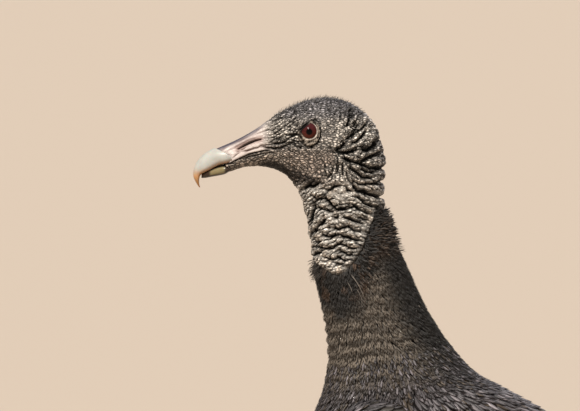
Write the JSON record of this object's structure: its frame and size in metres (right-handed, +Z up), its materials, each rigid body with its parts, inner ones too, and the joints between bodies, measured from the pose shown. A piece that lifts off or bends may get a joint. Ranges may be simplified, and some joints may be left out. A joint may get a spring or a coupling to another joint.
{
  "type": "black vulture",
  "caption": "Life-size still model of an adult American black vulture standing upright with folded wings, bare wrinkled head and hooked pale-tipped bill.",
  "frame": {"origin": "on the floor, under the middle of the bird's outline from bill to tail", "axes": "-X the way the bill points, +X towards the tail, -Y the bird's left side, +Z up"},
  "size_m": [0.493, 0.1738, 0.5028],
  "materials": {
    "skin": "matte",
    "plumage": "matte",
    "flight": "satin",
    "horn": "satin",
    "eye": "gloss",
    "scute": "matte",
    "claw": "satin"
  },
  "bodies": {
    "root": {"head": "skin", "lower_jaw": "skin", "bill_upper": "horn", "bill_lower": "horn", "eye_left": "eye", "eye_right": "eye", "neck_upper": "skin", "neck_lower": "plumage", "trunk": "plumage", "wing_left": "flight", "wing_right": "flight", "tail": "flight", "shank_left": "plumage", "tarsus_left": "scute", "foot_left": "scute", "claw_left_inner": "claw", "claw_left_middle": "claw", "claw_left_outer": "claw", "claw_left_hind": "claw", "shank_right": "plumage", "tarsus_right": "scute", "foot_right": "scute", "claw_right_inner": "claw", "claw_right_middle": "claw", "claw_right_outer": "claw", "claw_right_hind": "claw"}
  },
  "joints": []
}
